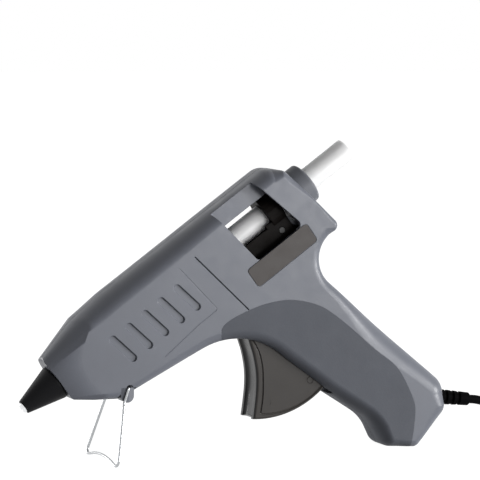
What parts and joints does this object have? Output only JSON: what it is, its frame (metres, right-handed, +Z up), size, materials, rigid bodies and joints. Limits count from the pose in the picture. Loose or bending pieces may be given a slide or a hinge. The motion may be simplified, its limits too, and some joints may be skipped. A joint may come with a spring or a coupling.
{
  "type": "hot glue gun",
  "caption": "Pistol-grip hot glue applicator standing on its grip and a folding wire stand, with trigger feed, glue stick, viewing window and a coiled mains cord",
  "frame": {"origin": "centre of the footprint of the gun itself, without its cord, on the surface it stands on", "axes": "+X from the nozzle towards the grip and the cord, +Z up, -Y the side with the rating plate; the barrel is tilted nozzle down by 35.7 degrees about Y"},
  "size_m": [0.3531, 0.0708, 0.1556],
  "materials": {
    "housing_plastic": "fine-textured grey moulded plastic",
    "black_plastic": "smooth black moulded plastic",
    "trigger_plastic": "glossy dark grey moulded plastic",
    "black_rubber": "soft black rubber",
    "sleeve_silicone": "matt red silicone",
    "bright_steel": "bright drawn steel",
    "zinc_steel": "zinc-plated steel",
    "cast_alloy": "die-cast aluminium",
    "plug_brass": "plain brass",
    "heater_ceramic": "wrapped ceramic heater",
    "glue": "milky translucent hot-melt glue",
    "plate_film": "dark satin film, bare",
    "blue_lead": "blue wire insulation",
    "brown_lead": "brown wire insulation"
  },
  "bodies": {
    "housing": {"left_shell": "housing_plastic", "right_shell": "housing_plastic", "stick_collar": "housing_plastic", "shell_screw_1": "zinc_steel", "shell_screw_2": "zinc_steel", "shell_screw_3": "zinc_steel", "shell_screw_4": "zinc_steel", "shell_screw_5": "zinc_steel", "shell_screw_6": "zinc_steel", "nozzle_tip": "bright_steel", "nozzle_boot": "black_rubber", "melt_chamber": "cast_alloy", "ptc_heater": "heater_ceramic", "inlet_sleeve": "sleeve_silicone", "sleeve_clamp": "zinc_steel", "trigger_pivot_pin": "bright_steel", "return_spring": "bright_steel", "rating_plate": "plate_film", "strain_relief": "black_rubber", "cord_tail": "black_rubber", "cord_clamp": "black_plastic", "clamp_screw_1": "zinc_steel", "clamp_screw_2": "zinc_steel", "lead_wire_neutral": "blue_lead", "lead_wire_live": "brown_lead", "power_cord": "black_rubber", "cord_coil": "black_rubber", "plug_body": "black_plastic", "plug_pin_1": "plug_brass", "plug_pin_2": "plug_brass"},
    "trigger": {"trigger": "trigger_plastic", "link_front_pin": "bright_steel"},
    "link": {"feed_link": "black_plastic"},
    "carriage": {"feed_carriage": "black_plastic", "lever_pin": "bright_steel"},
    "lever": {"clamp_lever": "black_plastic", "link_rear_pin": "bright_steel"},
    "stick": {"glue_stick": "glue"},
    "stand": {"stand_wire": "bright_steel"}
  },
  "joints": [
    {"name": "trigger_squeeze", "type": "hinge", "parent": "housing", "child": "trigger", "pos_m": [0.01351, 0, 0.07229], "axis": [0, -1, 0], "range_deg": [0, 25], "stiffness_Nm_per_rad": 0.15, "springref_deg": -11.46},
    {"name": "link_swing", "type": "hinge", "parent": "trigger", "child": "link", "pos_m": [0.00485, 0, 0.09251], "axis": [0, -1, 0], "range_deg": [-25.5, 0]},
    {"name": "carriage_feed", "type": "slide", "parent": "housing", "child": "carriage", "axis": [-0.8121, 0, -0.5835], "range_m": [0, 0.0097]},
    {"name": "lever_bite", "type": "hinge", "parent": "carriage", "child": "lever", "pos_m": [0.02313, 0, 0.11196], "axis": [0, 1, 0], "range_deg": [0, 2.6]},
    {"name": "stick_slide", "type": "slide", "parent": "housing", "child": "stick", "axis": [-0.8121, 0, -0.5835], "range_m": [-0.06, 0.02]},
    {"name": "stand_fold", "type": "hinge", "parent": "housing", "child": "stand", "pos_m": [-0.05929, 0, 0.03808], "axis": [0, -1, 0], "range_deg": [0, 90]}
  ],
  "couplings": [
    {"joint": "link_swing", "follows": "trigger_squeeze", "ratio": -1},
    {"joint": "carriage_feed", "follows": "trigger_squeeze", "m_per_rad": 0.02183},
    {"joint": "lever_bite", "follows": "trigger_squeeze", "ratio": 0.1}
  ]
}
